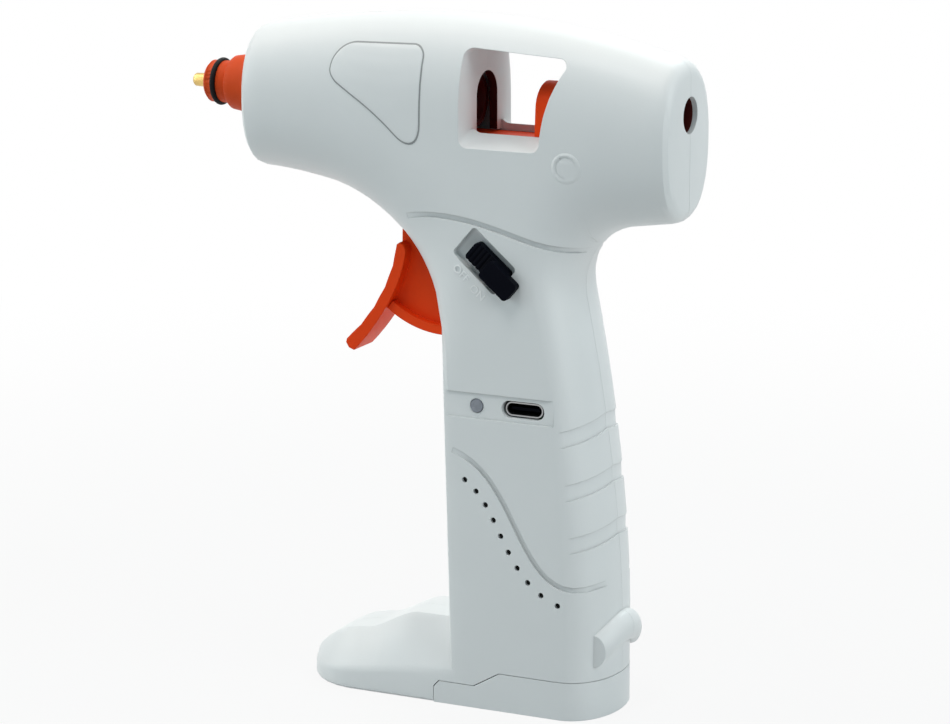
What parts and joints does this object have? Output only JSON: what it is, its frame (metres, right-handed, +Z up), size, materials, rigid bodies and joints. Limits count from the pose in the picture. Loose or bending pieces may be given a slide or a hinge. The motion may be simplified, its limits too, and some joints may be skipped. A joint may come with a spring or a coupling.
{
  "type": "cordless hot glue applicator",
  "caption": "Pistol-shaped cordless hot glue applicator with a trigger-driven stick feeder, see-through feed window, slide switch, charging port and a foot to stand on.",
  "frame": {"origin": "on the base plane, in the parting plane of the two housing halves, under the front of the grip", "axes": "+X forward along the stick axis to the tip, +Y to the side with the switch and port, +Z up"},
  "size_m": [0.1211, 0.0303, 0.1535],
  "materials": {
    "white_shell": "fine matt moulding",
    "orange_plastic": "satin moulding",
    "black_plastic": "satin moulding",
    "black_rubber": "plain",
    "brass": "turned",
    "aluminium": "cast",
    "ceramic": "fired",
    "steel": "plain",
    "board": "solder mask",
    "lamp": "frosted lens",
    "cell_wrap": "shrink wrap"
  },
  "bodies": {
    "housing": {"left_shell": "white_shell", "right_shell": "white_shell", "housing_screws": "steel", "nozzle": "brass", "nozzle_sleeve": "orange_plastic", "nozzle_ring": "black_rubber", "melt_chamber": "aluminium", "heater_plate": "ceramic", "inlet_sleeve": "orange_plastic", "trigger_pivot_pin": "steel", "trigger_spring": "steel", "slide_switch": "steel", "charge_board": "board", "charge_lamp": "lamp", "port_shell": "steel", "port_tongue": "black_plastic", "battery_cell": "cell_wrap", "positive_contact": "brass"},
    "trigger": {"trigger": "orange_plastic"},
    "feeder": {"feed_carriage": "orange_plastic", "feed_cross_pin": "steel", "stick_gripper": "steel"},
    "switch": {"switch_knob": "black_plastic", "switch_slider": "black_plastic"},
    "cover": {"battery_cover": "white_shell", "negative_contact": "brass"}
  },
  "joints": [
    {"name": "trigger_pull", "type": "hinge", "parent": "housing", "child": "trigger", "pos_m": [0.003, 0, 0.105], "axis": [0, 1, 0], "range_deg": [0, 24], "stiffness_Nm_per_rad": 0.2, "springref_deg": -20.05, "deforming": ["trigger_spring"]},
    {"name": "feed", "type": "slide", "parent": "housing", "child": "feeder", "axis": [1, 0, 0], "range_m": [0, 0.0071]},
    {"name": "switch_slide", "type": "slide", "parent": "housing", "child": "switch", "axis": [0.7604, 0, 0.6494], "range_m": [0, 0.002]},
    {"name": "cover_slide", "type": "slide", "parent": "housing", "child": "cover", "axis": [-1, 0, 0], "range_m": [0, 0.01]}
  ],
  "couplings": [
    {"joint": "feed", "follows": "trigger_pull", "m_per_rad": 0.016746}
  ]
}
